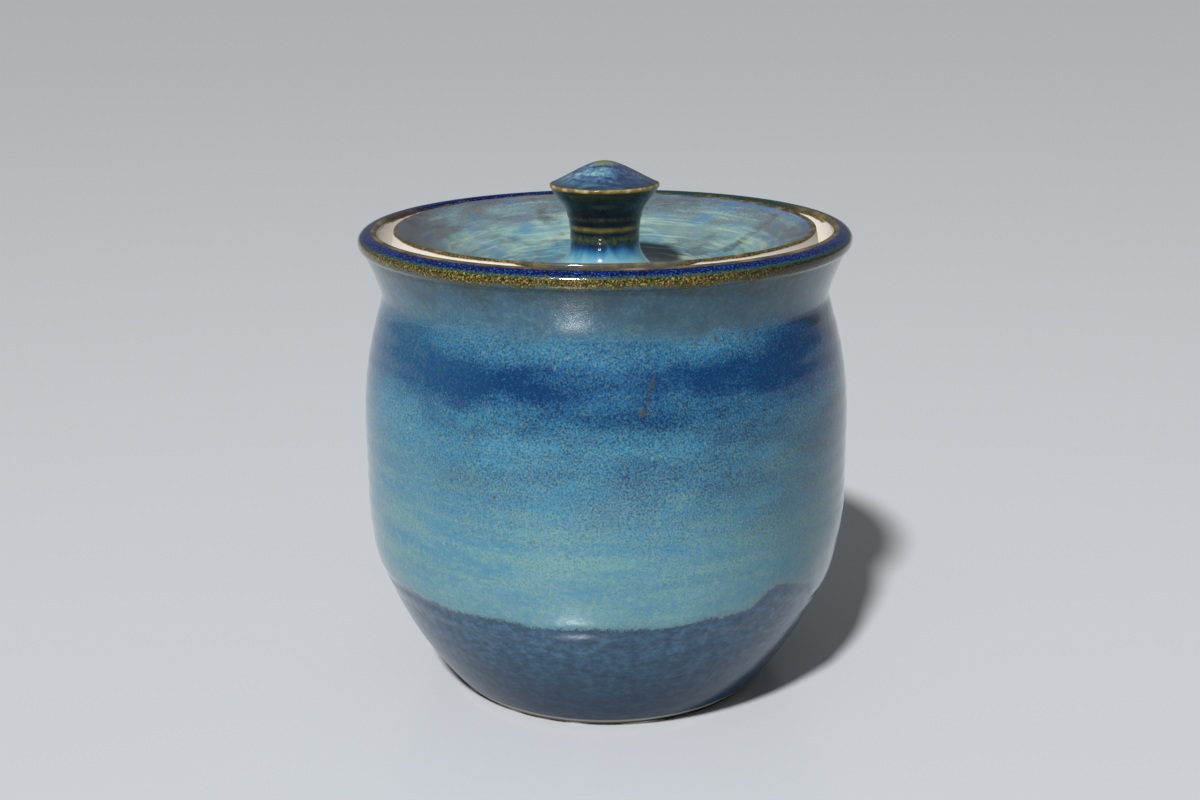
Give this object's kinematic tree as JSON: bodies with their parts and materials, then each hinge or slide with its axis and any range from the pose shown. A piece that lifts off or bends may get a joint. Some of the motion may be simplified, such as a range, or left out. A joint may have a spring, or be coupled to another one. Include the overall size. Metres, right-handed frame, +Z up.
{
  "type": "lidded jar",
  "caption": "Round-bellied glazed stoneware jar with a rolled rim and an inner gallery that carries a loose dished lid with a mushroom knob.",
  "frame": {"origin": "centre of the foot ring, on the surface that the jar stands on", "axes": "+Z up along the turning axis, -Y towards the pictured front"},
  "size_m": [0.1203, 0.1202, 0.1302],
  "materials": {
    "jar_glaze": "glossy floating-blue reduction glaze over stoneware, bare at the gallery and foot",
    "lid_glaze": "glossy variegated blue and olive glaze over stoneware, bare on the side and seat",
    "knob_glaze": "glossy dark blue glaze that breaks to gold on its edges"
  },
  "bodies": {
    "jar": {"jar_body": "jar_glaze"},
    "lid_with_knob": {"lid": "lid_glaze", "lid_knob": "knob_glaze"}
  },
  "joints": [
    {"name": "lid_lift", "type": "slide", "parent": "jar", "child": "lid_with_knob", "axis": [0, 0, 1], "range_m": [0, 0.12]}
  ]
}
